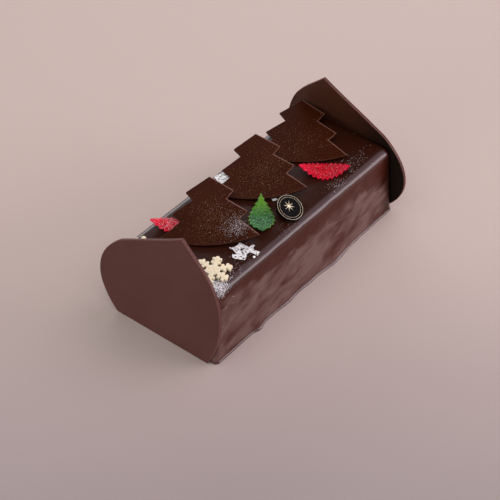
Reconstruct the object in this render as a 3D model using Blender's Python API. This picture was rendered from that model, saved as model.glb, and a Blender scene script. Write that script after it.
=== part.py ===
# Yule log cake: a glazed log between two dark chocolate end plates, topped with three
# chocolate trees, sugar leaves, white chocolate snowflakes, silver flakes and a plain disc.
# X runs across the log, Y along it from the front plate to the back plate, Z up.
# The origin is on the floor, midway between the two plates.
# Lengths below are in millimetres, angles in degrees. The meshes are made in metres.

import math

import bmesh
import bpy
from mathutils import Matrix, Vector

MM = 0.001
GAP = 0.3

# End plates
PLATE_HALF_SPAN = 112.1         # outer face of each plate, at its base, from the origin
PLATE_THICKNESS = 2.5
PLATE_LEAN = 3.57               # both plates lean in against the drafted ends of the log
PLATE_BASE_WIDTH = 85.0
PLATE_APEX = (17.4, 100.7)

# Log
LOG_CENTRE_X = 2.5              # at mid length; the log sits a little to the right of the plates
LOG_SKEW = -0.0030              # sideways drift of the centre line for each unit of length
LOG_BASE_HALF_WIDTH = 46.3
LOG_TOP_HALF_WIDTH = 42.9       # where the walls meet the rounded top edge
LOG_TOP_AT_MIDDLE = 63.25
LOG_TOP_FALL = 0.0155           # the top is lower towards the back
LOG_EDGE_RADIUS = 5.5
LOG_END_ROUNDING = 3.0
LOG_STATIONS = 44
# Glaze that ran down and set round the foot: (place along Y, reach, spread)
FOOT_REACH = 0.9
FOOT_RUNS_RIGHT = [(-61.0, 2.2, 4.5), (-26.0, 1.2, 9.0), (1.0, 0.8, 7.0), (31.0, 2.9, 16.0)]
FOOT_RUNS_LEFT = [(-84.0, 1.6, 8.0), (-38.0, 2.4, 12.0), (12.0, 1.3, 6.0), (58.0, 2.2, 14.0)]

# Trees: half width and height of each corner above the line through the base corners
TREE_THICKNESS = 1.5
TREE_HEIGHT = 60.4
TREE_TIER_CORNERS = [(17.6, 45.0), (12.4, 36.8), (27.2, 23.7), (21.2, 16.0), (35.7, 0.0)]
TREE_BASE_BULGE = 8.4
TREE_BASE_STEPS = 14
TREES = [
    # name, middle of the base line (x, y), turn about Z, rise towards the tip, right side up
    ("tree_front", (6.6, -63.0), 39.8, 5.5, 2.3),
    ("tree_middle", (2.5, -0.5), 41.1, 5.5, 3.2),
    ("tree_back", (-1.3, 54.1), 35.8, 5.5, 0.9),
]

# Leaves
LEAF_TEETH = 9
TOOTH_DEPTH = 0.13
LEAF_FULLNESS = 0.72             # below 1 the outline is rounder than a plain sine

# Small pieces
SNOWFLAKE_THICKNESS = 1.9
FLAKE_THICKNESS = 0.3
DISC_RADIUS = 10.7
DISC_THICKNESS = 1.9
DISC_CENTRE = (33.6, -4.6, 69.7)
DISC_TILT = 29.0                # the disc faces right, its left side held up by a dab
DISC_SIDES = 48
DAB_CENTRE = (28.4, -4.4)
DAB_BASE_RADIUS = 6.2
DAB_TOP_RADIUS = 4.6
DAB_SIDES = 20


def clear_scene():
    for old in list(bpy.data.objects):
        bpy.data.objects.remove(old, do_unlink=True)


def material(name, colour, roughness, metallic=0.0):
    made = bpy.data.materials.new(name)
    made.use_nodes = True
    shader = made.node_tree.nodes["Principled BSDF"]
    shader.inputs["Base Color"].default_value = (*colour, 1.0)
    shader.inputs["Roughness"].default_value = roughness
    shader.inputs["Metallic"].default_value = metallic
    return made


def finish(name, bm, look, place=None):
    """Turn a bmesh in millimetres into a named object in metres."""
    bmesh.ops.recalc_face_normals(bm, faces=bm.faces)
    if place is not None:
        bm.transform(place)
    bm.transform(Matrix.Scale(MM, 4))
    mesh = bpy.data.meshes.new(name)
    bm.to_mesh(mesh)
    bm.free()
    mesh.materials.append(look)
    piece = bpy.data.objects.new(name, mesh)
    bpy.context.collection.objects.link(piece)
    return piece


def curve_points(start, pull_a, pull_b, end, steps):
    """Points of one cubic curve, without its last one."""
    points = []
    for step in range(steps):
        t = step / steps
        weights = ((1 - t) ** 3, 3 * t * (1 - t) ** 2, 3 * t * t * (1 - t), t ** 3)
        corners = (start, pull_a, pull_b, end)
        points.append(tuple(sum(w * c[axis] for w, c in zip(weights, corners)) for axis in (0, 1)))
    return points


def slab(outline, low, high):
    """A flat piece: the outline in X and Y between the heights low and high."""
    bm = bmesh.new()
    bottom = [bm.verts.new((x, y, low)) for x, y in outline]
    top = [bm.verts.new((x, y, high)) for x, y in outline]
    count = len(outline)
    bm.faces.new(bottom)
    bm.faces.new(top)
    for i in range(count):
        j = (i + 1) % count
        bm.faces.new((bottom[i], bottom[j], top[j], top[i]))
    return bm


def turned(degrees, axis):
    return Matrix.Rotation(math.radians(degrees), 4, axis)


def top_height(y):
    return LOG_TOP_AT_MIDDLE - LOG_TOP_FALL * y


# Log

def foot_reach(y, runs):
    reach = FOOT_REACH
    for place, out, spread in runs:
        reach += out * math.exp(-((y - place) / spread) ** 2)
    return reach


def log_section(y, inset):
    """Outline of the log across X and Z, anticlockwise from the right foot."""
    centre = LOG_CENTRE_X + LOG_SKEW * y
    top = top_height(y) - inset
    radius = LOG_EDGE_RADIUS
    shoulder = top - radius
    sides = []
    for runs in (FOOT_RUNS_RIGHT, FOOT_RUNS_LEFT):
        base = LOG_BASE_HALF_WIDTH - inset
        reach = foot_reach(y, runs)
        side = [(base + reach, 0.0), (base + reach + 0.3, 0.8), (base + reach * 0.6, 1.9), (base - 0.1, 3.6)]
        upper = LOG_TOP_HALF_WIDTH - inset
        for part in (0.35, 0.7):
            side.append((base + (upper - base) * part, shoulder * part))
        for step in range(7):
            angle = math.radians(15 * step)
            side.append((upper - radius + radius * math.cos(angle), shoulder + radius * math.sin(angle)))
        sides.append(side)
    right = [(centre + x, z) for x, z in sides[0]]
    left = [(centre - x, z) for x, z in reversed(sides[1])]
    return right + left


def log_ring(bm, y_floor, half, inset):
    """One ring of the log. Its points lean in with the plates as they rise."""
    lean = math.tan(math.radians(PLATE_LEAN)) * y_floor / half
    return [bm.verts.new((x, y_floor - lean * z, z)) for x, z in log_section(y_floor, inset)]


def make_log(look):
    bm = bmesh.new()
    half = PLATE_HALF_SPAN - PLATE_THICKNESS / math.cos(math.radians(PLATE_LEAN)) - GAP
    inner = half - LOG_END_ROUNDING
    stations = [(-half, 0.6), (-half + LOG_END_ROUNDING * 0.3, 0.2)]
    for station in range(LOG_STATIONS + 1):
        stations.append((inner * (2 * station / LOG_STATIONS - 1), 0.0))
    stations += [(half - LOG_END_ROUNDING * 0.3, 0.2), (half, 0.6)]
    rings = [log_ring(bm, y, half, share * LOG_END_ROUNDING) for y, share in stations]
    count = len(rings[0])
    for near, far in zip(rings, rings[1:]):
        for i in range(count):
            j = (i + 1) % count
            bm.faces.new((near[i], near[j], far[j], far[i]))
    bm.faces.new(rings[0])
    bm.faces.new(rings[-1])
    finish("log", bm, look)


# End plates

def plate_outline():
    half = PLATE_BASE_WIDTH / 2
    left_widest, left_shoulder = (-59.9, 33.0), (-39.4, 70.0)
    right_shoulder, right_widest = (43.5, 74.8), (53.6, 42.5)
    left_corner, right_corner = (-half - 0.8, 0.4), (half + 0.8, 0.4)
    points = [(-half + 0.6, 0.0)]
    points += curve_points(left_corner, (-51.8, 7.6), (-59.9, 20.2), left_widest, 9)
    points += curve_points(left_widest, (-59.9, 46.9), (-52.9, 59.1), left_shoulder, 9)
    points += curve_points(left_shoulder, (-20.8, 80.6), (-0.4, 89.9), PLATE_APEX, 4)
    points += curve_points(PLATE_APEX, (27.0, 91.1), (35.6, 85.4), right_shoulder, 5)
    points += curve_points(right_shoulder, (49.5, 66.2), (53.6, 53.4), right_widest, 8)
    points += curve_points(right_widest, (53.6, 28.2), (50.4, 13.9), right_corner, 9)
    points += [right_corner, (half - 0.6, 0.0)]
    return points


def make_plates(look):
    # The slab's inner face is on its local XY plane, then stands up along XZ and leans in.
    lean = math.radians(PLATE_LEAN)
    inner_foot = -PLATE_HALF_SPAN + PLATE_THICKNESS * math.cos(lean)
    stand = Matrix.Translation((0.0, inner_foot, 0.0)) @ turned(90.0 - PLATE_LEAN, "X")
    finish("end_plate_front", slab(plate_outline(), 0.0, PLATE_THICKNESS), look, stand)
    finish("end_plate_back", slab(plate_outline(), 0.0, PLATE_THICKNESS), look, turned(180.0, "Z") @ stand)


# Trees

def tree_outline():
    half_base = TREE_TIER_CORNERS[-1][0]
    right = list(TREE_TIER_CORNERS)
    left = [(-x, y) for x, y in reversed(TREE_TIER_CORNERS)]
    base = []
    for step in range(1, TREE_BASE_STEPS):
        across = 1 - 2 * step / TREE_BASE_STEPS
        base.append((half_base * across, -TREE_BASE_BULGE * (1 - across * across)))
    return [(0.0, TREE_HEIGHT)] + right + base + left


def make_trees(look):
    for name, (x, y), turn, rise, roll in TREES:
        place = Matrix.Translation((x, y, 0.0)) @ turned(turn, "Z") @ turned(rise, "X") @ turned(-roll, "Y")
        under = [place @ Vector((u, v, 0.0)) for u, v in tree_outline()]
        lift = max(top_height(point.y) + GAP - point.z for point in under)
        finish(name, slab(tree_outline(), 0.0, TREE_THICKNESS), look, Matrix.Translation((0, 0, lift)) @ place)


# Leaves

def leaf_half_width(t, width, widest):
    """Smooth outline: zero at both ends, full width at the share `widest` of the length."""
    power = math.log(0.5) / math.log(widest)
    return 0.5 * width * math.sin(math.pi * t ** power) ** LEAF_FULLNESS


def make_leaf(name, look, size, widest, lifts, place):
    """A thin sugar leaf with saw teeth. lifts are how far its two ends curl up."""
    length, width, thickness = size
    steps = 2 * LEAF_TEETH + 2
    across = (-1.0, -0.5, 0.0, 0.5, 1.0)
    bm = bmesh.new()
    layers = []
    for height in (0.0, thickness):
        rows = []
        for step in range(steps + 1):
            t = step / steps
            half = max(leaf_half_width(t, width, widest), 0.5)
            tooth = 1.0 - TOOTH_DEPTH * (step % 2)
            off_middle = 2 * t - 1
            lift = lifts[0] if off_middle < 0 else lifts[1]
            rise = lift * abs(off_middle) ** 1.8
            row = []
            for share in across:
                edge = tooth if abs(share) == 1.0 else 1.0
                row.append(bm.verts.new((length * (t - 0.5), share * half * edge, rise + height)))
            rows.append(row)
        layers.append(rows)
    for rows in layers:
        for near, far in zip(rows, rows[1:]):
            for i in range(len(across) - 1):
                bm.faces.new((near[i], near[i + 1], far[i + 1]))
                bm.faces.new((near[i], far[i + 1], far[i]))
    low, high = layers
    rims = [
        ([row[0] for row in low], [row[0] for row in high]),
        ([row[-1] for row in low], [row[-1] for row in high]),
        (low[0], high[0]),
        (low[-1], high[-1]),
    ]
    for under, over in rims:
        for i in range(len(under) - 1):
            bm.faces.new((under[i], under[i + 1], over[i + 1], over[i]))
    finish(name, bm, look, place)


def make_leaves(green, red):
    # name, look, length, width, widest place, end lifts, middle (x, y), turn about Z, thickness
    leaves = [
        ("leaf_green", green, 39.4, 20.2, 0.62, (4.2, 2.6), (19.5, -20.0), -50.5, 0.9),
        ("leaf_red_right", red, 38.0, 20.4, 0.50, (6.0, 6.0), (23.9, 50.4), 38.6, 0.9),
        ("leaf_red_left", red, 36.0, 18.0, 0.50, (5.2, 0.0), (-22.6, -67.4), 37.0, 0.5),
    ]
    for name, look, length, width, widest, lifts, (x, y), turn, thickness in leaves:
        rest = top_height(y) + GAP
        slope = math.degrees(math.atan(LOG_TOP_FALL))
        place = Matrix.Translation((x, y, rest)) @ turned(-slope, "X") @ turned(turn, "Z")
        make_leaf(name, look, (length, width, thickness), widest, lifts, place)


# Snowflakes

def snowflake_outline(radius):
    """Six arms, each with two pairs of knobs and a round tip, as shares of the radius."""
    half_arm = [
        (0.42, 0.20), (0.46, 0.14), (0.52, 0.26), (0.62, 0.29), (0.66, 0.15),
        (0.73, 0.14), (0.76, 0.26), (0.86, 0.26), (0.90, 0.12), (0.98, 0.09),
    ]
    points = []
    for arm in range(6):
        angle = math.radians(60.0 * arm)
        ahead = Vector((math.cos(angle), math.sin(angle)))
        side = Vector((-ahead.y, ahead.x))
        for out, wide in half_arm:
            points.append(tuple(radius * (out * ahead - wide * side)))
        for out, wide in reversed(half_arm):
            points.append(tuple(radius * (out * ahead + wide * side)))
    return points


def make_snowflakes(look):
    for name, radius, (x, y), turn in (
        ("snowflake_large", 14.3, (29.2, -86.7), 55.0),
        ("snowflake_small", 7.2, (-28.3, -97.4), 57.0),
    ):
        place = Matrix.Translation((x, y, top_height(y) + GAP)) @ turned(turn, "Z")
        thickness = SNOWFLAKE_THICKNESS * (1.0 if radius > 10 else 0.75)
        place = place @ turned(-math.degrees(math.atan(LOG_TOP_FALL)), "X")
        finish(name, slab(snowflake_outline(radius), 0.0, thickness), look, place)


# Silver flakes: ragged thin scraps, outlines about their own middle

def make_silver_flakes(look):
    scraps = [
        ("silver_flake_front", (33.3, -57.6), [
            (-11.1, -4.2), (-8.3, -4.2), (-5.2, -4.7), (-1.5, -6.4), (-4.0, -8.4), (-1.8, -10.7),
            (0.3, -10.4), (4.3, -8.5), (6.8, -7.2), (5.9, -4.6), (3.7, -1.6), (4.3, 1.6),
            (7.5, 2.1), (10.8, 2.0), (9.6, 6.4), (5.8, 5.4), (3.2, 6.4), (2.4, 9.5),
            (0.9, 9.4), (0.3, 7.2), (0.4, 5.4), (-3.5, 5.1), (-7.9, 5.4), (-8.0, 3.9),
            (-7.1, 2.2), (-7.7, -1.0),
        ]),
        ("silver_flake_left", (-30.2, -3.7), [
            (-5.9, -3.1), (-1.2, -5.3), (3.7, -6.6), (5.5, -2.9), (4.8, 3.9), (2.4, 5.7),
            (-3.4, 5.6), (-5.0, 1.2),
        ]),
        ("silver_flake_small", (13.4, 4.2), [
            (-2.8, -2.2), (1.4, -3.6), (3.6, -0.8), (2.0, 1.6), (-0.8, 2.0), (-3.2, 0.4),
        ]),
    ]
    for name, (x, y), outline in scraps:
        place = Matrix.Translation((x, y, top_height(y) + GAP))
        place = place @ turned(-math.degrees(math.atan(LOG_TOP_FALL)), "X")
        finish(name, slab(outline, 0.0, FLAKE_THICKNESS), look, place)


# Disc on its dab

def make_disc(disc_look, dab_look):
    bm = bmesh.new()
    bmesh.ops.create_cone(
        bm, cap_ends=True, segments=DISC_SIDES, radius1=DISC_RADIUS, radius2=DISC_RADIUS,
        depth=DISC_THICKNESS,
    )
    place = Matrix.Translation(DISC_CENTRE) @ turned(DISC_TILT, "Y")
    finish("disc", bm, disc_look, place)

    # The dab rises from the top of the log to the tilted underside of the disc.
    bm = bmesh.new()
    slope = math.tan(math.radians(DISC_TILT))
    under = DISC_THICKNESS / 2 / math.cos(math.radians(DISC_TILT)) + GAP
    base_z = top_height(DAB_CENTRE[1]) + GAP
    rings = []
    for radius, level in ((DAB_BASE_RADIUS, "floor"), (DAB_TOP_RADIUS, "disc")):
        ring = []
        for step in range(DAB_SIDES):
            angle = 2 * math.pi * step / DAB_SIDES
            x = DAB_CENTRE[0] + radius * math.cos(angle)
            y = DAB_CENTRE[1] + radius * math.sin(angle)
            disc_z = DISC_CENTRE[2] - slope * (x - DISC_CENTRE[0]) - under
            ring.append(bm.verts.new((x, y, base_z if level == "floor" else disc_z)))
        rings.append(ring)
    bm.faces.new(rings[0])
    bm.faces.new(rings[1])
    for i in range(DAB_SIDES):
        j = (i + 1) % DAB_SIDES
        bm.faces.new((rings[0][i], rings[0][j], rings[1][j], rings[1][i]))
    finish("disc_dab", bm, dab_look)


def main():
    clear_scene()
    glaze = material("dark_glaze", (0.020, 0.007, 0.005), 0.12)
    plate_chocolate = material("plate_chocolate", (0.080, 0.030, 0.026), 0.42)
    tree_chocolate = material("tree_chocolate", (0.045, 0.014, 0.007), 0.40)
    white_chocolate = material("white_chocolate", (0.82, 0.70, 0.48), 0.45)
    red_sugar = material("red_sugar", (0.62, 0.008, 0.025), 0.45)
    green_sugar = material("green_sugar", (0.035, 0.25, 0.04), 0.45)
    silver = material("silver_leaf", (0.80, 0.80, 0.82), 0.30, 1.0)
    disc_black = material("disc_black", (0.008, 0.008, 0.008), 0.25)
    make_log(glaze)
    make_plates(plate_chocolate)
    make_trees(tree_chocolate)
    make_leaves(green_sugar, red_sugar)
    make_snowflakes(white_chocolate)
    make_silver_flakes(silver)
    make_disc(disc_black, glaze)


main()
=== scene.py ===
import math
import random

import bpy
from mathutils import Matrix, Vector, noise


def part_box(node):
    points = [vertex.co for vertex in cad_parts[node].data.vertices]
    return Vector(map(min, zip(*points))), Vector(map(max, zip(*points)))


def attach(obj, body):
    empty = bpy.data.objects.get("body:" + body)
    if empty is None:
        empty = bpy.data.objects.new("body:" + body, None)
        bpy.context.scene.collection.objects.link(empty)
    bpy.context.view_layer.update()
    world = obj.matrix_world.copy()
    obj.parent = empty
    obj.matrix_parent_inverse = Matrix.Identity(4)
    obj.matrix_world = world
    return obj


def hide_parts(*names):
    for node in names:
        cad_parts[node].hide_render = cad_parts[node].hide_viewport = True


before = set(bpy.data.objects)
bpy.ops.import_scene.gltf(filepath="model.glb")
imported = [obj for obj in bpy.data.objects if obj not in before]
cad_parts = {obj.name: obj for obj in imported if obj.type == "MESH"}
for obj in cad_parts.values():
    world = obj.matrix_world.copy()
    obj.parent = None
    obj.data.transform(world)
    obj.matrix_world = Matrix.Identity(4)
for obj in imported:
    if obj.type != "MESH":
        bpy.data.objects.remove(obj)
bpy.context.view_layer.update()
mm = 0.001


# Working in object and edit mode

def pick(piece):
    bpy.ops.object.select_all(action="DESELECT")
    bpy.context.view_layer.objects.active = piece
    piece.select_set(True)


def nameNew(name):
    made = bpy.context.object
    made.name = made.data.name = name
    return made


def setPlace(piece):
    pick(piece)
    bpy.ops.object.transform_apply(location=True, rotation=True, scale=True)


def editEdges(piece, rule):
    # opens edit mode with only the edges selected whose two end points pass the rule
    pick(piece)
    bpy.ops.object.mode_set(mode="EDIT")
    bpy.ops.mesh.select_mode(type="EDGE")
    bpy.ops.mesh.select_all(action="DESELECT")
    bpy.ops.object.mode_set(mode="OBJECT")
    spots = piece.data.vertices
    for edge in piece.data.edges:
        edge.select = rule(spots[edge.vertices[0]].co, spots[edge.vertices[1]].co)
    bpy.ops.object.mode_set(mode="EDIT")


def editFaces(piece, rule):
    # the same for faces, by their centre and normal
    pick(piece)
    bpy.ops.object.mode_set(mode="EDIT")
    bpy.ops.mesh.select_mode(type="FACE")
    bpy.ops.mesh.select_all(action="DESELECT")
    bpy.ops.object.mode_set(mode="OBJECT")
    for face in piece.data.polygons:
        face.select = rule(face.center, face.normal)
    bpy.ops.object.mode_set(mode="EDIT")


def leaveEdit():
    bpy.ops.object.mode_set(mode="OBJECT")


def applyModifier(piece, kind, **settings):
    pick(piece)
    added = piece.modifiers.new(kind.lower(), kind)
    for setting, value in settings.items():
        setattr(added, setting, value)
    bpy.ops.object.modifier_apply(modifier=added.name)


def smoothShade(piece, degrees):
    pick(piece)
    bpy.ops.object.shade_smooth_by_angle(angle=math.radians(degrees))


def joinPieces(pieces, name):
    pick(pieces[0])
    for piece in pieces:
        piece.select_set(True)
    bpy.ops.object.join()
    return nameNew(name)


def copyNode(node, name):
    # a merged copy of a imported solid, its flat faces whole again
    piece = bpy.data.objects.new(name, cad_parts[node].data.copy())
    bpy.context.scene.collection.objects.link(piece)
    pick(piece)
    bpy.ops.object.mode_set(mode="EDIT")
    bpy.ops.mesh.select_all(action="SELECT")
    bpy.ops.mesh.remove_doubles(threshold=0.01 * mm)
    bpy.ops.mesh.dissolve_limited(angle_limit=math.radians(0.6))
    leaveEdit()
    return piece


def dress(piece, look, slot, *nodes):
    piece.data.materials.clear()
    piece.data.materials.append(look)
    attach(piece, "root")
    if nodes:
        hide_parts(*nodes)


# Building materials from nodes

def newLook(name, **shader):
    look = bpy.data.materials.new(name)
    look.use_nodes = True
    for socket, value in shader.items():
        look.node_tree.nodes["Principled BSDF"].inputs[socket.replace("_", " ")].default_value = value
    return look


def addNode(look, kind, inputs=None, **settings):
    made = look.node_tree.nodes.new(kind)
    for setting, value in settings.items():
        setattr(made, setting, value)
    for socket, value in (inputs or {}).items():
        if isinstance(value, bpy.types.NodeSocket):
            look.node_tree.links.new(value, made.inputs[socket])
        else:
            made.inputs[socket].default_value = value
    return made


def feed(look, output, socket):
    look.node_tree.links.new(output, look.node_tree.nodes["Principled BSDF"].inputs[socket])


def objectPlace(look, turn=(0, 0, 0), stretch=(1, 1, 1)):
    # the pattern is drawn out along each axis by stretch, and then turned
    coords = addNode(look, "ShaderNodeTexCoord").outputs["Object"]
    turned = tuple(math.radians(angle) for angle in turn)
    made = addNode(look, "ShaderNodeMapping", {"Vector": coords, "Rotation": turned, "Scale": stretch},
                   vector_type="TEXTURE")
    return made.outputs[0]


def split(look, vector):
    return addNode(look, "ShaderNodeSeparateXYZ", {"Vector": vector}).outputs


def noiseValue(look, place, size, detail=3.0, roughness=0.5, swirl=0.0):
    # size is about how far apart the blotches are, in metres
    made = addNode(look, "ShaderNodeTexNoise", {
        "Vector": place, "Scale": 1.0 / size, "Detail": detail, "Roughness": roughness,
        "Distortion": swirl})
    return made.outputs["Fac"]


def remap(look, value, low, high, newLow=0.0, newHigh=1.0, smooth=True):
    made = addNode(look, "ShaderNodeMapRange", {
        "Value": value, "From Min": low, "From Max": high, "To Min": newLow, "To Max": newHigh},
        interpolation_type="SMOOTHSTEP" if smooth else "LINEAR")
    return made.outputs["Result"]


def maths(look, kind, a, b):
    made = addNode(look, "ShaderNodeMath", {0: a, 1: b}, operation=kind)
    return made.outputs[0]


def blendColours(look, share, a, b):
    made = addNode(look, "ShaderNodeMix", {0: share, 6: a, 7: b}, data_type="RGBA")
    return made.outputs[2]


def bumpy(look, height, strength, distance):
    made = addNode(look, "ShaderNodeBump", {
        "Height": height, "Strength": strength, "Distance": distance})
    feed(look, made.outputs["Normal"], "Normal")


# Materials

glaze = {
    "top": (0.028, 0.0058, 0.0022, 1),      # nearly black where it lies thick
    "wall": (0.056, 0.0105, 0.0062, 1),     # thinner high on the walls, so redder
    "paintedReflection": (0.151, 0.0850, 0.0730, 1),    # painted reflection: the pale lower part of the walls, standing in for pale surroundings mirrored there
    "blotch": (0.070, 0.0190, 0.0170, 1),   # darker spots that break up the painted reflection
    # marks on the walls: how many degrees they rise to the back, how drawn out and how big they are
    "drift": (14, 1.7, 17 * mm),
    "streaks": (11, 2.7, 10 * mm),
    "reflectionGaps": (14, 1.8, 8 * mm),
    "ripples": (14, 2.5, 5 * mm),
    "reflectionLine": (47 * mm, 39 * mm),        # the painted reflection starts at the first height, full at the second
    "reflectionSlant": -3,                       # degrees as above: that line falls to the back
    "reflectionWander": 9 * mm,                  # how far it wanders up and down
    "footLine": (3.4 * mm, 0.8 * mm),       # dark again round the foot
    "plateShade": (93 * mm, 104 * mm),            # painted shade: dark also in the corner by the back plate, which shades the wall there
    "plateShadeWander": 4 * mm,
    "wallLine": (62.5 * mm, 55 * mm),       # top colour above, wall colours below
    "roughness": (0.29, 0.30),              # of the top and of the walls
    "rippleDepth": 0.3 * mm,
}


def makeGlazeLook(name, shine):
    g = glaze
    look = newLook(name, Specular_IOR_Level=shine)

    def marks(kind, detail, roughness=0.5, swirl=0.0):
        slant, drawn, size = g[kind]
        place = objectPlace(look, turn=(slant, 0, 0), stretch=(1, drawn, 1))
        return noiseValue(look, place, size, detail, roughness, swirl)

    spot = split(look, objectPlace(look))
    falling = split(look, objectPlace(look, turn=(g["reflectionSlant"], 0, 0)))["Z"]
    drift = marks("drift", 2.5, 0.45, 0.6)
    wander = remap(look, drift, 0.28, 0.72, -g["reflectionWander"], g["reflectionWander"], False)
    # painted reflection on the lower walls: pale, in slanting streaks with darker spots, in place of
    # surroundings mirrored by the glaze
    reflectionShare = remap(look, maths(look, "ADD", falling, wander), *g["reflectionLine"])
    reflectionStreaks = remap(look, marks("streaks", 2.6, 0.50, 0.6), 0.28, 0.70, 0.08, 1.20, False)
    reflectionGaps = remap(look, marks("reflectionGaps", 1.5, 0.4, 0.3), 0.60, 0.78)
    paintedReflection = blendColours(look, reflectionGaps, g["paintedReflection"], g["blotch"])
    wall = blendColours(look, maths(look, "MULTIPLY", reflectionShare, reflectionStreaks), g["wall"], paintedReflection)
    wall = blendColours(look, remap(look, spot["Z"], *g["footLine"], 0.0, 0.6), wall, g["top"])
    # painted shade on the walls next to the back plate
    wander = remap(look, drift, 0.3, 0.7, -g["plateShadeWander"], g["plateShadeWander"], False)
    plateShadeShare = remap(look, maths(look, "ADD", spot["Y"], wander), *g["plateShade"], 0.0, 0.85)
    wall = blendColours(look, plateShadeShare, wall, g["top"])
    onWall = remap(look, spot["Z"], *g["wallLine"])
    feed(look, blendColours(look, onWall, g["top"], wall), "Base Color")
    feed(look, remap(look, onWall, 0, 1, *g["roughness"]), "Roughness")
    bumpy(look, marks("ripples", 2.0), 0.3, g["rippleDepth"])
    return look


def makeChocolateLook(name, colours, thin, roughness, shine, innerSide=0, brightFrom=-3.0):
    # tempered chocolate: faint cloudy swirls, and a paler line where a flat face turns over, partly a
    # paler cut edge and partly painted highlight. thin is the axis through the sheet, innerSide the end
    # of that axis at which the side with painted shade lies, and the painted highlight line is bright
    # where the surface faces +Y by more than brightFrom (-3: all round)
    look = newLook(name, Specular_IOR_Level=shine)
    place = objectPlace(look)
    clouds = noiseValue(look, place, 34 * mm, 4.0, 0.6)
    face = blendColours(look, remap(look, clouds, 0.3, 0.7), colours["face"], colours["cloud"])
    axes = split(look, addNode(look, "ShaderNodeTexCoord").outputs["Normal"])
    if innerSide:
        # painted shade: the inner face is darker, most where it is furthest from the light
        inner = remap(look, maths(look, "MULTIPLY", axes[thin], innerSide), 0.80, 0.97)
        across = remap(look, split(look, place)["X"], 0, 48 * mm)
        dark = blendColours(look, across, colours["inner"], colours["innerDeepShade"])
        face = blendColours(look, inner, face, dark)
    facing = addNode(look, "ShaderNodeMath", {0: axes[thin]}, operation="ABSOLUTE").outputs[0]
    # the cut faces take the cut colour; on the trees that is painted shade
    cut = remap(look, facing, 0.45, 0.25)
    face = blendColours(look, cut, face, colours["cut"])
    # painted highlight: a paler line where a flat face turns over, partly a paler cut edge
    paleEdgeAndHighlight = maths(look, "SUBTRACT", remap(look, facing, 0.97, 0.80), cut)
    # the painted highlight is strongest where the edge faces +Y, towards the back lights
    bright = remap(look, axes["Y"], brightFrom, brightFrom + 0.4, 0.25, 1.0)
    paleEdgeAndHighlight = maths(look, "MULTIPLY", paleEdgeAndHighlight, bright)
    feed(look, blendColours(look, paleEdgeAndHighlight, face, colours["edge"]), "Base Color")
    feed(look, remap(look, clouds, 0.3, 0.7, roughness, roughness + 0.08), "Roughness")
    bumpy(look, noiseValue(look, place, 1.1 * mm, 3.0), 0.16, 0.06 * mm)
    return look


def makeSugarLook(name, colours):
    # frosted sugar: sparse bright grains over the deep colour, a lighter rim and a lighter tip
    look = newLook(name, Roughness=0.42, Specular_IOR_Level=0.14, Subsurface_Weight=0.05)
    shader = look.node_tree.nodes["Principled BSDF"]
    shader.inputs["Subsurface Radius"].default_value = colours["glow"]
    shader.inputs["Subsurface Scale"].default_value = 1.0 * mm
    place = objectPlace(look)
    patches = noiseValue(look, place, 4 * mm, 3.0)
    along = addNode(look, "ShaderNodeAttribute", attribute_name="along").outputs["Fac"]
    margin = addNode(look, "ShaderNodeAttribute", attribute_name="margin").outputs["Fac"]
    deep = blendColours(look, remap(look, patches, 0.35, 0.65), colours["deep"], colours["light"])
    hollows = noiseValue(look, place, 0.9 * mm, 2.0)
    deep = blendColours(look, remap(look, hollows, 0.52, 0.36, 0.0, 0.85), deep, colours["hollow"])
    deep = blendColours(look, remap(look, along, 0.62, 0.10, 0.0, 0.8), deep, colours["tip"])
    deep = blendColours(look, remap(look, margin, 0.80, 1.0, 0.0, 0.55), deep, colours["tip"])
    grains = addNode(look, "ShaderNodeTexVoronoi", {"Vector": place, "Scale": 1 / (0.75 * mm)})
    lit = addNode(look, "ShaderNodeSeparateColor", {"Color": grains.outputs["Color"]}).outputs[0]
    close = remap(look, grains.outputs["Distance"], 0.42, 0.22)
    frost = maths(look, "MULTIPLY", remap(look, lit, 0.84, 0.94), close)
    frost = maths(look, "MULTIPLY", frost, remap(look, along, 0.10, 0.45, 0.35, 1.0))
    feed(look, blendColours(look, frost, deep, colours["frost"]), "Base Color")
    bumpy(look, grains.outputs["Distance"], 0.7, 0.22 * mm)
    return look


def makeCreamLook():
    look = newLook("whiteChocolateLook", Roughness=0.48, Specular_IOR_Level=0.45,
                   Subsurface_Weight=0.25)
    shader = look.node_tree.nodes["Principled BSDF"]
    shader.inputs["Subsurface Radius"].default_value = (1.0, 0.7, 0.4)
    shader.inputs["Subsurface Scale"].default_value = 1.5 * mm
    place = objectPlace(look)
    patches = noiseValue(look, place, 6 * mm, 3.0)
    cream = blendColours(look, patches, (0.79, 0.66, 0.44, 1), (0.88, 0.79, 0.59, 1))
    feed(look, cream, "Base Color")
    bumpy(look, noiseValue(look, place, 0.9 * mm, 2.0), 0.25, 0.12 * mm)
    return look


def makeSilverLook():
    look = newLook("silverLeafLook", Metallic=0.25)
    place = objectPlace(look)
    patches = noiseValue(look, place, 1.6 * mm, 4.0, 0.7)
    lit = remap(look, patches, 0.38, 0.56)      # creases catch the light, or don't
    feed(look, blendColours(look, lit, (0.50, 0.47, 0.47, 1), (1.0, 0.98, 0.98, 1)), "Base Color")
    feed(look, remap(look, patches, 0.3, 0.7, 0.30, 0.50), "Roughness")
    bumpy(look, noiseValue(look, place, 1.3 * mm, 4.0), 0.7, 0.3 * mm)
    return look


def makeDiscLook():
    look = newLook("discBlackLook", Specular_IOR_Level=0.05)
    place = objectPlace(look)
    patches = noiseValue(look, place, 4 * mm, 3.0)
    black = blendColours(look, patches, (0.0020, 0.0020, 0.0020, 1), (0.0040, 0.0036, 0.0032, 1))
    feed(look, black, "Base Color")
    feed(look, remap(look, patches, 0.3, 0.7, 0.16, 0.24), "Roughness")
    bumpy(look, noiseValue(look, place, 0.8 * mm, 2.0), 0.08, 0.04 * mm)
    return look


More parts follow.
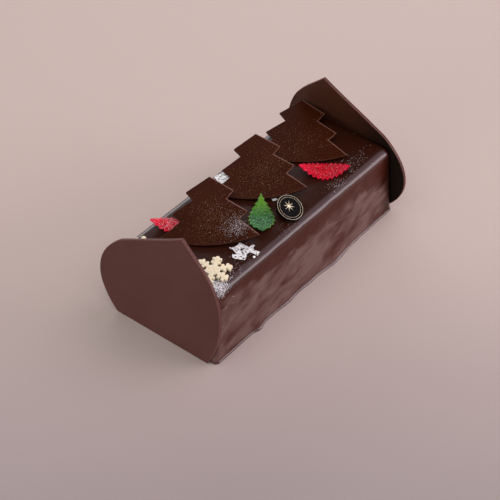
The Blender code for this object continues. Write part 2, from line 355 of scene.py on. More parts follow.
def makeSpeckLook(name, colourA, colourB, metallic, roughness):
    # a plain look for small things: specks, painted highlight strips, and print with a painted rim
    # highlight
    look = newLook(name, Metallic=metallic, Roughness=roughness)
    patches = noiseValue(look, objectPlace(look), 1.5 * mm, 2.0)
    feed(look, blendColours(look, remap(look, patches, 0.35, 0.65), colourA, colourB), "Base Color")
    return look


glazeLook = makeGlazeLook("darkGlazeLook", 0.42)
wallLook = makeGlazeLook("dullGlazeLook", 0.14)     # the walls are duller than the top
# the inner colours are painted shade on the plates' inner faces
plateColours = {
    "face": (0.081, 0.0292, 0.0240, 1), "cloud": (0.090, 0.0335, 0.0278, 1),
    # the edge colour: partly a paler cut edge, partly painted highlight
    "edge": (0.190, 0.083, 0.070, 1), "cut": (0.092, 0.0335, 0.0280, 1),
    "inner": (0.056, 0.0175, 0.0092, 1), "innerDeepShade": (0.010, 0.0060, 0.0042, 1)}
# for the trees the cut colour is painted shade: the sides as dark as the shadow round the sheets
treeColours = {
    "face": (0.032, 0.0060, 0.0014, 1), "cloud": (0.041, 0.0085, 0.0022, 1),
    "edge": (0.320, 0.140, 0.095, 1), "cut": (0.018, 0.0040, 0.0012, 1)}
frontPlateLook = makeChocolateLook("frontPlateLook", plateColours, "Y", 0.40, 0.15, innerSide=1.0)
backPlateLook = makeChocolateLook("backPlateLook", plateColours, "Y", 0.40, 0.15, innerSide=-1.0)
# the trees' pale edge line is a painted highlight, drawn fully only where the edge faces the back
# lights
treeLook = makeChocolateLook("treeChocolateLook", treeColours, "Z", 0.45, 0.05, brightFrom=-0.35)
# painted highlight along the trees' edges that face the back lights
highlightStripLook = makeSpeckLook("paintedHighlightLook", (0.150, 0.058, 0.040, 1),
                          (0.220, 0.095, 0.068, 1), 0.0, 0.5)
redLook = makeSugarLook("redSugarLook", {
    "deep": (0.43, 0.0006, 0.008, 1), "light": (0.72, 0.0010, 0.020, 1),
    "tip": (0.66, 0.007, 0.048, 1), "hollow": (0.22, 0.0008, 0.006, 1),
    "frost": (0.98, 0.30, 0.44, 1), "glow": (1.0, 0.12, 0.10)})
greenLook = makeSugarLook("greenSugarLook", {
    "deep": (0.006, 0.085, 0.011, 1), "light": (0.024, 0.170, 0.026, 1),
    "tip": (0.145, 0.340, 0.034, 1), "hollow": (0.002, 0.030, 0.005, 1),
    "frost": (0.50, 0.80, 0.42, 1), "glow": (0.2, 1.0, 0.2)})
creamLook = makeCreamLook()
silverLook = makeSilverLook()
discLook = makeDiscLook()
printAndRimHighlightLook = makeSpeckLook("discPrintAndRimHighlightLook", (0.80, 0.62, 0.34, 1), (0.90, 0.84, 0.70, 1), 0.1, 0.4)
dustLook = makeSpeckLook("silverDustLook", (0.70, 0.68, 0.70, 1), (1.0, 0.97, 0.97, 1), 0.2, 0.45)
goldLook = makeSpeckLook("goldSpeckLook", (0.30, 0.150, 0.050, 1), (0.52, 0.32, 0.13, 1), 0.3, 0.45)
print("materials made")


# The log

logShape = {
    "halfLength": 109.3 * mm,
    "endRounding": 1.8 * mm,
    "centreX": 2.5 * mm,
    "skew": -0.0030,
    "baseHalf": 46.3 * mm,
    "topHalf": 42.9 * mm,
    "topHeight": 63.25 * mm,
    "topFall": 0.0155,
    "edgeRadius": 6.5 * mm,
    "margin": 17 * mm,                      # the top falls away over this width along each side
    "marginFall": 0.75 * mm,
    "lean": math.tan(math.radians(3.57)),   # both ends lean in with the plates
    "rightReach": 1.3 * mm,                 # the right wall stands a little further out at its top
    "crown": 0.35 * mm,                     # the top is a little fuller along its middle
    "wallFrom": 0.93,                       # a point further out than this share is on the wall
    "wallBlend": 0.06,
    "wallWaves": 0.62 * mm,
    "waveSlant": math.radians(9),
    "topWaves": 0.16 * mm,
    "calmEnds": 6 * mm,                     # the waves fade away over this length at each end
    "footFade": 9 * mm,                     # and at the foot and the top of the walls
    "topFade": 14 * mm,
    "footReach": 0.75 * mm,
    "footHeight": 1.2 * mm,
    "runHeight": 13 * mm,
    "footCells": 1.6,                       # the higher, the finer the cells towards the foot
    "cuts": {"along": 200, "across": 64, "up": 50, "under": 14},
    "dullFrom": 1.4 * mm,                   # the walls' duller look starts at this height
    # glaze that ran down and set round the foot: place along Y, reach, spread, all in mm
    "runsRight": [(-61, 2.2, 4.5), (-26, 1.2, 9), (1, 0.8, 7), (31, 2.9, 16)],
    "runsLeft": [(-84, 1.6, 8), (-38, 2.4, 12), (12, 1.3, 6), (58, 2.2, 14)],
}


def topAt(y):
    return logShape["topHeight"] - logShape["topFall"] * y


def overShoulder(z):
    # 0 where the rounded edge starts, 1 at the top
    height = z - (logShape["topHeight"] - logShape["edgeRadius"])
    return min(max(height / logShape["edgeRadius"], 0.0), 1.0)


def footSwell(y, z, runs):
    # a small rounded lip all along the foot, and taller swellings where more glaze ran down
    s = logShape
    lip = math.sqrt(max(0.0, 1 - (z / s["footHeight"]) ** 2)) * s["footReach"]
    bumps = sum(out * mm * math.exp(-((y / mm - place) / spread) ** 2) for place, out, spread in runs)
    return lip + bumps * max(0.0, 1 - z / s["runHeight"]) ** 2


def wallWave(x, y, z):
    # slanting ripples where the glaze slid down
    slant = logShape["waveSlant"]
    along = (y * math.cos(slant) + z * math.sin(slant)) / mm
    up = (z * math.cos(slant) - y * math.sin(slant)) / mm
    side = 40.0 if x > 0 else -40.0
    long = noise.noise(Vector((side, along / 26, up / 10)))
    short = noise.noise(Vector((side + 7, along / 11, up / 5.5)))
    drip = noise.noise(Vector((side - 5, along / 9, up / 30)))
    return 0.9 * long + 0.35 * short + 0.45 * drip


def shapeGlaze(point):
    s = logShape
    x, y, z = point
    side = 1 if x > 0 else -1
    share = abs(x) / s["baseHalf"]
    shoulder = s["topHeight"] - s["edgeRadius"]
    if z < shoulder:
        z = shoulder * (z / shoulder) ** s["footCells"]
    # ends: rounded a little, so every ring near an end is drawn in
    fromEnd = s["halfLength"] - abs(y)
    inset = 0.0
    if fromEnd < s["endRounding"]:
        left = 1 - fromEnd / s["endRounding"]
        inset = s["endRounding"] * (1 - math.sqrt(max(0.0, 1 - left * left)))
    # walls lean in from the foot to the shoulder
    climb = min(z / shoulder, 1.0)
    x *= 1 + (s["topHalf"] / s["baseHalf"] - 1) * climb
    x -= side * inset * min(share * 1.2, 1.0)
    onWall = min(max((share - s["wallFrom"]) / s["wallBlend"], 0.0), 1.0)
    calm = min(fromEnd / s["calmEnds"], 1.0)
    fade = min(z / s["footFade"], 1.0) * min(max((s["topHeight"] - z) / s["topFade"], 0.15), 1.0)
    x += side * s["wallWaves"] * wallWave(x, y, z) * onWall * fade * calm
    x += side * footSwell(y, z, s["runsRight"] if side > 0 else s["runsLeft"]) * onWall
    if z > shoulder:
        z = topAt(y) - inset - (s["topHeight"] - z)
        z += s["crown"] * (1 - share * share) * overShoulder(z)
        beyond = max(0.0, (abs(x) - s["topHalf"] + s["margin"]) / s["margin"])
        z -= s["marginFall"] * beyond ** 2 * overShoulder(z)
        ripple = noise.noise(Vector((x / mm / 16, y / mm / 22, 3.0)))
        z += s["topWaves"] * ripple * calm * (1 - onWall)
    else:
        z *= (topAt(y) - s["edgeRadius"]) / shoulder
    reach = s["rightReach"] * share * climb if side > 0 else 0.0
    x += s["centreX"] + s["skew"] * y + reach
    y -= s["lean"] * (y / s["halfLength"]) * z
    return Vector((x, y, z))


def makeGlazedLog():
    s = logShape
    cuts = s["cuts"]
    bpy.ops.object.select_all(action="DESELECT")
    bpy.ops.mesh.primitive_cube_add(size=1, location=(0, 0, s["topHeight"] / 2),
                                    scale=(2 * s["baseHalf"], 2 * s["halfLength"], s["topHeight"]))
    log = nameNew("glazedLog")
    setPlace(log)
    high = s["topHeight"] - 0.01 * mm
    editEdges(log, lambda a, b: a.z > high and b.z > high and abs(a.y - b.y) > 50 * mm)
    bpy.ops.mesh.bevel(offset=s["edgeRadius"], segments=9, affect="EDGES")
    leaveEdit()
    editEdges(log, lambda a, b: abs(a.y - b.y) > 50 * mm)
    bpy.ops.mesh.subdivide(number_cuts=cuts["along"])
    leaveEdit()
    editEdges(log, lambda a, b: abs(a.x - b.x) > 50 * mm and a.z > high)
    bpy.ops.mesh.subdivide(number_cuts=cuts["across"])
    leaveEdit()
    editEdges(log, lambda a, b: abs(a.x - b.x) > 50 * mm and a.z < 1 * mm)
    bpy.ops.mesh.subdivide(number_cuts=cuts["under"])
    leaveEdit()
    editEdges(log, lambda a, b: abs(a.z - b.z) > 30 * mm)
    bpy.ops.mesh.subdivide(number_cuts=cuts["up"])
    leaveEdit()
    for point in log.data.vertices:
        point.co = shapeGlaze(point.co)
    smoothShade(log, 50)
    dress(log, glazeLook, "dark_glaze", "log")
    log.data.materials.append(wallLook)
    for face in log.data.polygons:
        below = topAt(face.center.y) - s["edgeRadius"]
        onWall = abs(face.normal.x) > 0.6 and s["dullFrom"] < face.center.z < below
        face.material_index = int(onWall)
    return log


glazedLog = makeGlazedLog()
print("log shaped:", len(glazedLog.data.polygons), "faces")


# The end plates and the trees

def paintHighlightStrip(sheet, width, look):
    # painted highlight: a narrow strip of the top face gets its own paler look, wherever the outline
    # faces the back plate and the back lights
    sheet.data.materials.clear()
    sheet.data.materials.append(None)
    sheet.data.materials.append(look)
    editFaces(sheet, lambda centre, normal: normal.z > 0.7)
    bpy.ops.mesh.inset(thickness=width, use_boundary=True)
    leaveEdit()
    spots = sheet.data.vertices
    inside = [face for face in sheet.data.polygons if face.select]
    kept = set(index for face in inside for index in face.vertices)
    for face in sheet.data.polygons:
        outer = [index for index in face.vertices if index not in kept]
        inner = [index for index in face.vertices if index in kept]
        if face.select or face.normal.z < 0.7 or len(outer) != 2 or len(inner) != 2:
            continue
        middleOut = (spots[outer[0]].co + spots[outer[1]].co) / 2
        middleIn = (spots[inner[0]].co + spots[inner[1]].co) / 2
        along = (spots[outer[1]].co - spots[outer[0]].co).normalized()
        away = middleOut - middleIn
        away -= along * away.dot(along)
        face.material_index = int(away.y > 0.45 * width)


def makeSheet(node, name, look, slot, rounding, segments, paleEdgeAndHighlight=None):
    sheet = copyNode(node, name)
    if paleEdgeAndHighlight:
        paintHighlightStrip(sheet, *paleEdgeAndHighlight)
    applyModifier(sheet, "BEVEL", width=rounding, segments=segments, limit_method="ANGLE",
                  angle_limit=math.radians(50), miter_outer="MITER_ARC")
    smoothShade(sheet, 40)
    applyModifier(sheet, "WEIGHTED_NORMAL", keep_sharp=True)
    strip = [face.index for face in sheet.data.polygons if face.material_index == 1]
    dress(sheet, look, slot, node)
    if paleEdgeAndHighlight:
        sheet.data.materials.append(paleEdgeAndHighlight[1])
        for index in strip:
            sheet.data.polygons[index].material_index = 1
    return sheet


sheetShapes = {
    "plateRounding": 0.60 * mm,
    "treeRounding": 0.35 * mm,
    "treeStrip": 0.80 * mm,
    "segments": 3,
    "plates": [("end_plate_front", "frontPlate", frontPlateLook),
               ("end_plate_back", "backPlate", backPlateLook)],
    "trees": [("tree_front", "frontTree"), ("tree_middle", "middleTree"), ("tree_back", "backTree")],
}
for node, name, look in sheetShapes["plates"]:
    makeSheet(node, name, look, "plate_chocolate", sheetShapes["plateRounding"],
              sheetShapes["segments"])
trees = []
for node, name in sheetShapes["trees"]:
    trees.append(makeSheet(node, name, treeLook, "tree_chocolate", sheetShapes["treeRounding"],
                           sheetShapes["segments"], (sheetShapes["treeStrip"], highlightStripLook)))
print("plates and trees dressed")


# Leaves

leafShape = {
    "cellsAlong": 150,
    "cellsAcross": 30,
    "fullness": 0.68,
    "leastHalf": 0.35,          # half width at the very tip, in mm
    "notchShare": 0.52,         # a cut goes no deeper than this share of the half width
    "backShare": 0.8,           # where each tooth turns from its long side to its short one
    "curl": 1.8,                # the higher, the more the ends alone lift
    "dome": 0.35 * mm,
    "veinDepth": 0.30 * mm,
    "veinWidth": 0.55 * mm,
    "sideVeinDepth": 0.14 * mm,
    "sideVeinSlant": 1.4,
    "grainHeight": 0.22 * mm,
    "grainAlong": 0.9,
    "grainAcross": 0.7,
    "clearance": 0.25 * mm,     # above the log
}
leaves = [
    # all in mm and degrees: lifts are the ends' heights, toothDepth how deep the cuts go
    {"name": "greenLeaf", "node": "leaf_green", "slot": "green_sugar", "look": greenLook,
     "length": 39.4, "width": 20.2, "widest": 0.62, "lifts": (4.2, 2.6), "thick": 0.9,
     "middle": (18.9, -19.2), "turn": -50.5, "teeth": 9, "toothDepth": 2.3},
    {"name": "rightRedLeaf", "node": "leaf_red_right", "slot": "red_sugar", "look": redLook,
     "length": 38.0, "width": 20.4, "widest": 0.50, "lifts": (6.0, 6.0), "thick": 0.9,
     "middle": (23.9, 50.4), "turn": 38.6, "teeth": 11, "toothDepth": 2.6},
    {"name": "leftRedLeaf", "node": "leaf_red_left", "slot": "red_sugar", "look": redLook,
     "length": 36.0, "width": 18.0, "widest": 0.50, "lifts": (5.2, 0.0), "thick": 0.5,
     "middle": (-22.6, -67.4), "turn": 37.0, "teeth": 10, "toothDepth": 2.3},
]


def leafPoint(leaf, gridX, gridY):
    # gridX and gridY run from -0.5 to 0.5 over the leaf
    s = leafShape
    t = gridX + 0.5
    share = gridY * 2
    power = math.log(0.5) / math.log(leaf["widest"])
    swell = math.sin(math.pi * min(max(t, 0.0), 1.0) ** power) ** s["fullness"]
    half = max(0.5 * leaf["width"] * swell, s["leastHalf"])
    saw = (t * leaf["teeth"]) % 1.0
    if leaf["widest"] > 0.5:
        saw = 1 - saw      # teeth point to the thin end
    deep = saw if saw < s["backShare"] else (1 - saw) * 4
    notch = min(leaf["toothDepth"], s["notchShare"] * half) * deep
    x = leaf["length"] * (t - 0.5)
    y = share * (half - notch * abs(share) ** 4)
    off = 2 * t - 1
    lift = leaf["lifts"][0] if off < 0 else leaf["lifts"][1]
    z = lift * abs(off) ** s["curl"]
    return x * mm, y * mm, z * mm


def makeLeaf(leaf):
    s = leafShape
    bpy.ops.object.select_all(action="DESELECT")
    bpy.ops.mesh.primitive_grid_add(x_subdivisions=s["cellsAlong"], y_subdivisions=s["cellsAcross"],
                                    size=1)
    piece = nameNew(leaf["name"])
    alongValues = []        # low at a tip, high away from it
    marginValues = []       # 0 at the midrib, 1 at the rim
    for point in piece.data.vertices:
        gridX, gridY = point.co.x, point.co.y
        x, y, z = leafPoint(leaf, gridX, gridY)
        across = abs(gridY) * 2
        vein = math.exp(-(y / s["veinWidth"]) ** 2) * s["veinDepth"]
        turn = math.tau * ((gridX + 0.5) * leaf["teeth"] + s["sideVeinSlant"] * across)
        rib = math.cos(turn) * s["sideVeinDepth"]
        grain = noise.noise(Vector((x / s["grainAlong"], y / s["grainAcross"], 0)) / mm)
        grain *= s["grainHeight"]
        dome = s["dome"] * (1 - across * across)
        point.co = (x, y, z + dome - vein + rib * across * (1 - across) * 2 + grain)
        alongValues.append(gridX + 0.5 if leaf["widest"] > 0.5 else 0.62 - 2 * gridX ** 2)
        marginValues.append(across)
    for label, values in (("along", alongValues), ("margin", marginValues)):
        piece.data.attributes.new(label, "FLOAT", "POINT").data.foreach_set("value", values)
    applyModifier(piece, "SOLIDIFY", thickness=leaf["thick"] * mm * 0.8, offset=-1.0)
    low = min(point.co.z for point in piece.data.vertices)
    x, y = leaf["middle"]
    rest = topAt(y * mm) + s["clearance"] - low
    place = (Matrix.Translation((x * mm, y * mm, rest))
             @ Matrix.Rotation(-math.atan(logShape["topFall"]), 4, "X")
             @ Matrix.Rotation(math.radians(leaf["turn"]), 4, "Z"))
    piece.data.transform(place)
    smoothShade(piece, 45)
    dress(piece, leaf["look"], leaf["slot"], leaf["node"])
    return piece


leafPieces = [makeLeaf(leaf) for leaf in leaves]
print("leaves made")


# Snowflakes: flat arms and knobs, melted into one body

snowflakeShape = {
    # widths and lengths are shares of the radius, heights are shares of the thickness
    "bodyRadius": 0.36, "bodyHigh": 0.86,
    "armWidth": 0.105, "armHalf": 0.44,
    "tipRadius": 0.105, "tipHigh": 0.97,
    "branches": [(0.44, 0.21), (0.70, 0.20)],   # where each pair leaves the arm, and its length
    "branchTurn": 58,
    "branchWidth": 0.072, "branchHigh": 0.90,
    "knobRadius": 0.084, "knobHigh": 0.94,
    "voxel": 0.22 * mm,
    "clearance": 0.2 * mm,                      # above the log
}
snowflakes = [
    {"name": "bigSnowflake", "node": "snowflake_large", "radius": 14.3, "middle": (29.6, -87.7),
     "turn": 54, "high": 2.1},
    {"name": "smallSnowflake", "node": "snowflake_small", "radius": 7.2, "middle": (-28.3, -97.4),
     "turn": 57, "high": 1.6},
]


def addKnob(spot, sizeX, sizeY, high, turn=0.0):
    bpy.ops.object.select_all(action="DESELECT")
    bpy.ops.mesh.primitive_cylinder_add(vertices=20, radius=1, depth=1, location=spot,
                                        rotation=(0, 0, turn), scale=(sizeX, sizeY, high))
    knob = bpy.context.object
    setPlace(knob)
    return knob


def makeSnowflake(flake):
    s = snowflakeShape
    radius = flake["radius"] * mm
    high = flake["high"] * mm
    body, tip, knob = s["bodyRadius"] * radius, s["tipRadius"] * radius, s["knobRadius"] * radius
    parts = [addKnob((0, 0, 0), body, body, high * s["bodyHigh"])]
    for arm in range(6):
        angle = math.radians(60 * arm)
        ahead = Vector((math.cos(angle), math.sin(angle), 0))
        beside = Vector((-ahead.y, ahead.x, 0))
        parts.append(addKnob(ahead * 0.5 * radius, s["armHalf"] * radius, s["armWidth"] * radius, high,
                             angle))
        parts.append(addKnob(ahead * (1 - s["tipRadius"]) * radius, tip, tip, high * s["tipHigh"]))
        for out, length in s["branches"]:
            for sign in (-1, 1):
                turn = math.radians(s["branchTurn"] * sign)
                away = ahead * math.cos(turn) + beside * math.sin(turn)
                halfway = ahead * out * radius + away * 0.5 * length * radius
                parts.append(addKnob(halfway, 0.5 * length * radius, s["branchWidth"] * radius,
                                     high * s["branchHigh"], angle + turn))
                spot = ahead * out * radius + away * length * radius
                parts.append(addKnob(spot, knob, knob, high * s["knobHigh"]))
    piece = joinPieces(parts, flake["name"])
    applyModifier(piece, "REMESH", mode="VOXEL", voxel_size=s["voxel"])
    applyModifier(piece, "SMOOTH", factor=0.5, iterations=4)
    x, y = flake["middle"]
    low = min(point.co.z for point in piece.data.vertices)
    place = (Matrix.Translation((x * mm, y * mm, topAt(y * mm) + s["clearance"] - low))
             @ Matrix.Rotation(math.radians(flake["turn"]), 4, "Z"))
    piece.data.transform(place)
    smoothShade(piece, 60)
    dress(piece, creamLook, "white_chocolate", flake["node"])


for flake in snowflakes:
    makeSnowflake(flake)
print("snowflakes made")


# Silver scraps: thin crinkled sheets

silverShape = {
    "cell": 0.40 * mm,
    "crinkle": 0.60 * mm,
    "foldSize": 3.2 * mm,
    "creaseSize": 1.3 * mm,
    "tearSize": 1.15 * mm,
    "ragged": 0.41,         # cells where the noise is over this are torn out
    "thickness": 0.12 * mm,
    # how far a scrap is slid along x and y, in mm, and how steeply its back stands up
    "moved": {"smallSilver": (0.8, -1.7, 0.25)},
    # small tears in the front scrap: centre on the log's top and radius, in mm
    "tears": [((31.4, -57.4), 1.0), ((34.0, -59.8), 0.7), ((29.2, -61.0), 0.6)],
}


def tornOut(centre):
    s = silverShape
    if noise.noise(centre / s["tearSize"]) > s["ragged"]:
        return True
    uneven = 1 + 0.5 * noise.noise(centre / mm)
    for middle, radius in s["tears"]:
        spot = Vector(middle) * mm
        if math.hypot(centre.x - spot.x, (centre.y - spot.y) * 0.7) < radius * mm * uneven:
            return True
    return False


def makeScrap(node, name):
    s = silverShape
    scrap = copyNode(node, name)
    editFaces(scrap, lambda centre, normal: normal.z < 0.7)
    bpy.ops.mesh.delete(type="FACE")
    leaveEdit()
    low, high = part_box(node)
    for axis in (0, 1):
        spot = low[axis] + s["cell"] / 2
        while spot < high[axis]:
            pick(scrap)
            bpy.ops.object.mode_set(mode="EDIT")
            bpy.ops.mesh.select_all(action="SELECT")
            cutPoint = [0, 0, low.z]
            cutPoint[axis] = spot
            bpy.ops.mesh.bisect(plane_co=cutPoint, plane_no=(1, 0, 0) if axis == 0 else (0, 1, 0))
            leaveEdit()
            spot += s["cell"]
    editFaces(scrap, lambda centre, normal: tornOut(centre))
    bpy.ops.mesh.delete(type="FACE")
    leaveEdit()
    slideX, slideY, rise = s["moved"].get(name, (0.0, 0.0, 0.0))
    for point in scrap.data.vertices:
        fold = noise.noise(point.co / s["foldSize"]) + 0.5 * noise.noise(point.co / s["creaseSize"])
        point.co.z += s["crinkle"] * (0.45 + fold * 0.6) + rise * (point.co.y - low.y)
        point.co += Vector((slideX * mm, slideY * mm, 0))
    applyModifier(scrap, "SOLIDIFY", thickness=s["thickness"], offset=1.0)
    smoothShade(scrap, 30)
    dress(scrap, silverLook, "silver_leaf", node)


for node, name in (("silver_flake_front", "frontSilver"), ("silver_flake_left", "leftSilver"),
                   ("silver_flake_small", "smallSilver")):
    makeScrap(node, name)
print("silver scraps made")


# The disc, its plain printed ring and star, a pale ring along its rim that is a painted highlight, and
# the dab under it

discShape = {
    # in mm and degrees
    "centre": (33.6, -4.6, 69.7),
    "radius": 10.7,
    "thickness": 1.9,
    "tilt": 29.0,
    "rimWidth": 0.45,
    "rimHeight": 0.18,          # the middle lies a little lower than the rim
    "rounding": 0.22,
    "rings": [(10.05, 0.10), (8.30, 0.07)],     # radius and half width of each ring: the outer one, along the rim, is a painted highlight; the inner one is printed
    "printAndHighlightHeight": 0.05,
    "starPoints": 8,
    "starOuter": 4.6,
    "starInner": 0.8,
    "starAside": -1.2,
}


def discPlace():
    centre = Vector(discShape["centre"]) * mm
    return Matrix.Translation(centre) @ Matrix.Rotation(math.radians(discShape["tilt"]), 4, "Y")


def makeDisc():
    s = discShape
    bpy.ops.object.select_all(action="DESELECT")
    bpy.ops.mesh.primitive_cylinder_add(vertices=96, radius=s["radius"] * mm, depth=s["thickness"] * mm)
    disc = nameNew("blackDisc")
    editFaces(disc, lambda centre, normal: normal.z > 0.9)
    bpy.ops.mesh.inset(thickness=s["rimWidth"] * mm)
    bpy.ops.transform.translate(value=(0, 0, -s["rimHeight"] * mm))
    leaveEdit()
    applyModifier(disc, "BEVEL", width=s["rounding"] * mm, segments=3, limit_method="ANGLE",
                  angle_limit=math.radians(12))
    disc.data.transform(discPlace())
    smoothShade(disc, 40)
    dress(disc, discLook, "disc_black", "disc")


def makePrintAndRimHighlight():
    s = discShape
    face = (s["thickness"] / 2 - s["rimHeight"] + s["printAndHighlightHeight"] / 2) * mm
    parts = []
    # the first ring lies along the rim: a painted highlight, not print
    for radius, half in s["rings"]:
        bpy.ops.object.select_all(action="DESELECT")
        bpy.ops.mesh.primitive_torus_add(major_radius=radius * mm, minor_radius=half * mm,
                                         major_segments=96, minor_segments=8, location=(0, 0, face))
        ring = bpy.context.object
        ring.scale.z = s["printAndHighlightHeight"] / half
        setPlace(ring)
        parts.append(ring)
    bpy.ops.object.select_all(action="DESELECT")
    bpy.ops.mesh.primitive_circle_add(vertices=2 * s["starPoints"], radius=s["starOuter"] * mm,
                                      fill_type="NGON", location=(s["starAside"] * mm, 0, face))
    star = bpy.context.object
    for index, point in enumerate(star.data.vertices):
        if index % 2:
            point.co *= s["starInner"] / s["starOuter"]
    setPlace(star)
    applyModifier(star, "SOLIDIFY", thickness=s["printAndHighlightHeight"] * mm, offset=0.0)
    parts.append(star)
    ringsAndStar = joinPieces(parts, "discPrintAndRimHighlight")
    ringsAndStar.data.transform(discPlace())
    smoothShade(ringsAndStar, 40)
    dress(ringsAndStar, printAndRimHighlightLook, "disc_black")


def makeDab():
    dab = copyNode("disc_dab", "discDab")
    applyModifier(dab, "REMESH", mode="VOXEL", voxel_size=0.5 * mm)
    applyModifier(dab, "SMOOTH", factor=0.6, iterations=6)
    smoothShade(dab, 60)
    dress(dab, glazeLook, "dark_glaze", "disc_dab")


makeDisc()
makePrintAndRimHighlight()
makeDab()
print("disc made")


# Dust, gold specks and crumbs, each grain a small faceted body that lies on what is under it

onTop = [glazedLog] + trees
lowestDust = 45 * mm
dustClusters = [
    # all in mm: middle on the log (x, y), spread along x and y, how many grains, smallest and
    # largest half size, what they lie on
    ((43.0, -96.5), (4.2, 4.2), 1150, 0.12, 0.36, onTop),
    ((37.5, -92.0), (5.0, 6.0), 330, 0.10, 0.30, onTop),
    ((39.5, -72.0), (4.5, 10.0), 90, 0.09, 0.22, onTop),
    ((16.4, -44.0), (4.6, 6.0), 620, 0.08, 0.21, onTop),
    ((4.0, -42.0), (12.0, 11.0), 160, 0.07, 0.17, onTop),
    ((35.2, 74.0), (4.5, 8.0), 140, 0.10, 0.25, onTop),
    ((39.0, 46.0), (3.0, 6.5), 110, 0.10, 0.25, onTop),
    ((39.5, -19.0), (3.5, 5.0), 50, 0.09, 0.20, onTop),
    ((0.0, 0.0), (22.0, 60.0), 260, 0.07, 0.15, onTop),
    ((-22.6, -67.4), (8.0, 6.0), 420, 0.10, 0.26, leafPieces),
    ((21.0, 50.4), (11.0, 7.0), 90, 0.08, 0.20, leafPieces),
    ((19.5, -22.0), (5.0, 6.0), 80, 0.08, 0.18, leafPieces),
]
goldClusters = [
    ((2.0, -50.0), (13.0, 13.0), 1300, 0.07, 0.16, trees),
    ((-3.0, 12.0), (13.0, 14.0), 1500, 0.07, 0.16, trees),
    ((-8.0, 62.0), (14.0, 14.0), 900, 0.07, 0.15, trees),
]
crumbs = [
    # name, place on the log, half size in mm, look, slot
    ("silverDot", (42.6, -57.8), 0.95, silverLook, "silver_leaf"),
    ("creamCrumbs", (14.9, -57.8), 0.55, creamLook, "white_chocolate"),
    ("farCreamCrumb", (10.6, 56.2), 1.1, creamLook, "white_chocolate"),
]


def groundAt(x, y):
    # the highest piece straight below the point, and the spot on it
    best, under = None, None
    for ground in onTop + leafPieces:
        hit, spot, normal, _ = ground.ray_cast(Vector((x, y, 0.2)), Vector((0, 0, -1)))
        if hit and (best is None or spot.z > best.z):
            best, under = spot, ground
    return best, under


def makeGrains(name, clusters, look, slot, seed):
    bpy.ops.object.select_all(action="DESELECT")
    bpy.ops.mesh.primitive_ico_sphere_add(subdivisions=1, radius=1)
    grain = bpy.context.object
    shape = [point.co.copy() for point in grain.data.vertices]
    sides = [tuple(face.vertices) for face in grain.data.polygons]
    bpy.data.objects.remove(grain)
    draw = random.Random(seed)
    spots, faces = [], []
    for (middleX, middleY), (spreadX, spreadY), count, small, large, onto in clusters:
        for _ in range(count):
            x = (middleX + draw.gauss(0, spreadX)) * mm
            y = (middleY + draw.gauss(0, spreadY)) * mm
            size = draw.uniform(small, large) * mm
            flat = draw.uniform(0.35, 0.8)
            turn = draw.uniform(0, math.tau)
            spot, under = groundAt(x, y)
            if under not in onto or spot.z < lowestDust:
                continue
            start = len(spots)
            sizes = Matrix.Diagonal((size, size * draw.uniform(0.6, 1), size * flat))
            turned = Matrix.Rotation(turn, 3, "Z") @ sizes
            rise = Vector((0, 0, size * flat * 0.6))
            spots += [turned @ corner + spot + rise for corner in shape]
            faces += [tuple(start + index for index in side) for side in sides]
    mesh = bpy.data.meshes.new(name)
    mesh.from_pydata(spots, [], faces)
    grains = bpy.data.objects.new(name, mesh)
    bpy.context.scene.collection.objects.link(grains)
    dress(grains, look, slot)


def makeCrumb(name, place, size, look, slot, seed):
    bpy.ops.object.select_all(action="DESELECT")
    bpy.ops.mesh.primitive_ico_sphere_add(subdivisions=3, radius=size * mm)
    crumb = nameNew(name)
    for point in crumb.data.vertices:
        point.co *= 1 + 0.5 * noise.noise(point.co / (size * mm) + Vector((seed, 0, 0)))
        point.co.z *= 0.6
    x, y = place[0] * mm, place[1] * mm
    crumb.data.transform(Matrix.Translation((x, y, topAt(y) + size * 0.6 * mm)))
    smoothShade(crumb, 50)
    dress(crumb, look, slot)


bpy.context.view_layer.update()
makeGrains("silverDust", dustClusters, dustLook, "silver_leaf", 11)
makeGrains("goldSpecks", goldClusters, goldLook, "tree_chocolate", 12)
for seed, (name, place, size, look, slot) in enumerate(crumbs):
    makeCrumb(name, place, size, look, slot, seed)
print("dust and crumbs scattered")


# Floor, light and camera

studio = {
    "floorSize": 8.0,
    "floorColour": (0.560, 0.450, 0.405, 1),
    "floorShadeColour": (0.325, 0.272, 0.268, 1),   # painted shade: the floor is a little darker towards the front right, standing in for light falling off there
    "floorFade": (0.10, -0.34),
    "floorTurn": 38.6,
    "room": 0.28,                       # brightness of the room all round
    "roomColour": (1.0, 0.97, 0.95, 1),
    "darkSide": (-0.50, 0.56, 0.66),    # a dark screen up there, so that the glossy top stays dark
    "darkEdge": (0.84, 0.96),           # cosines of the angles at which it fades out and is full
    "darkShare": 0.08,
    "glowSide": (0.36, 0.62, 0.70),     # a soft glow beside it, for the log's right margin to mirror
    "glowEdge": (0.85, 0.98),
    "glow": 1.2,
    "glowColour": (0.96, 0.80, 1.0, 1),
    "camera": (0.57555, -0.73034, 0.85399),
    "lookAlong": (-0.4607, 0.5775, -0.6739),
    "lens": 118.55,
}
softboxes = [
    # name, place, what it points at, size, watts, colour, whether glossy surfaces mirror it
    ("overheadLight", (0.25, -0.45, 1.9), (0, 0, 0), (2.6, 2.3), 24, (1, 1, 1), False),
    ("backRightLight", (1.62, 1.25, 0.50), (0, 0, 0.05), (1.7, 0.80), 31, (1.0, 0.90, 0.97), True),
    ("backLeftLight", (-1.50, 1.35, 0.62), (0, 0, 0.05), (1.3, 0.65), 13, (0.97, 0.95, 1.0), True),
    ("backLowLight", (-0.55, 1.85, 0.42), (0, 0, 0.05), (1.2, 0.5), 8, (1, 1, 1), True),
    ("frontCard", (-0.05, -1.9, 0.25), (0, -0.11, 0.05), (1.2, 0.45), 14, (1, 1, 1), True),
]


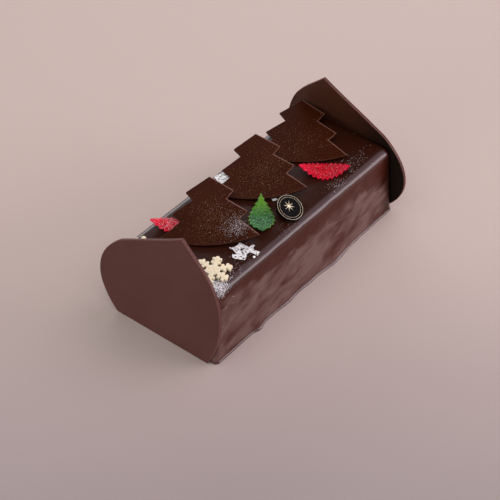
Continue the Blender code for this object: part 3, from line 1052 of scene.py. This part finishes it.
def makeFloor():
    bpy.ops.object.select_all(action="DESELECT")
    bpy.ops.mesh.primitive_plane_add(size=studio["floorSize"])
    floor = nameNew("floor")
    look = newLook("floorLook", Roughness=0.85, Specular_IOR_Level=0.2)
    across = split(look, objectPlace(look, turn=(0, 0, studio["floorTurn"])))["Y"]
    patches = noiseValue(look, objectPlace(look), 0.35, 2.0)
    across = maths(look, "ADD", across, remap(look, patches, 0, 1, -0.04, 0.04, False))
    # painted shade on the floor, darker towards the front right
    near = remap(look, across, *studio["floorFade"])
    feed(look, blendColours(look, near, studio["floorColour"], studio["floorShadeColour"]), "Base Color")
    floor.data.materials.append(look)


def addSoftbox(name, place, target, size, power, colour, mirrored):
    lamp = bpy.data.lights.new(name, "AREA")
    lamp.shape = "RECTANGLE"
    lamp.size, lamp.size_y = size
    lamp.energy = power
    lamp.color = colour
    softbox = bpy.data.objects.new(name, lamp)
    bpy.context.scene.collection.objects.link(softbox)
    softbox.location = place
    softbox.rotation_euler = (Vector(target) - Vector(place)).to_track_quat("-Z", "Y").to_euler()
    softbox.visible_glossy = mirrored


def makeRoom():
    world = bpy.data.worlds.new("room")
    bpy.context.scene.world = world
    world.use_nodes = True
    nodes, links = world.node_tree.nodes, world.node_tree.links
    coords = nodes.new("ShaderNodeTexCoord")

    def patch(side, edge, farValue, nearValue):
        # a soft round patch of the room: farValue outside it, nearValue in its middle
        towards = nodes.new("ShaderNodeVectorMath")
        towards.operation = "DOT_PRODUCT"
        towards.inputs[1].default_value = side
        links.new(coords.outputs["Generated"], towards.inputs[0])
        soft = nodes.new("ShaderNodeMapRange")
        soft.interpolation_type = "SMOOTHSTEP"
        settings = {"From Min": edge[0], "From Max": edge[1], "To Min": farValue, "To Max": nearValue}
        for socket, value in settings.items():
            soft.inputs[socket].default_value = value
        links.new(towards.outputs["Value"], soft.inputs["Value"])
        return soft.outputs["Result"]

    room = studio["room"]
    screen = patch(studio["darkSide"], studio["darkEdge"], room, room * studio["darkShare"])
    glow = patch(studio["glowSide"], studio["glowEdge"], 0.0, studio["glow"])
    background = nodes["Background"]
    glowing = nodes.new("ShaderNodeBackground")
    both = nodes.new("ShaderNodeAddShader")
    parts = ((background, studio["roomColour"], screen), (glowing, studio["glowColour"], glow))
    for index, (part, colour, strength) in enumerate(parts):
        part.inputs["Color"].default_value = colour
        links.new(strength, part.inputs["Strength"])
        links.new(part.outputs[0], both.inputs[index])
    links.new(both.outputs[0], nodes["World Output"].inputs["Surface"])


def makeCamera():
    lens = bpy.data.cameras.new("camera")
    lens.lens = studio["lens"]
    lens.sensor_width = 36
    camera = bpy.data.objects.new("camera", lens)
    bpy.context.scene.collection.objects.link(camera)
    camera.location = studio["camera"]
    camera.rotation_euler = Vector(studio["lookAlong"]).to_track_quat("-Z", "Y").to_euler()
    bpy.context.scene.camera = camera


makeFloor()
makeRoom()
makeCamera()
for softbox in softboxes:
    addSoftbox(*softbox)
bpy.context.scene.view_settings.view_transform = "Standard"
print("floor, light and camera set")
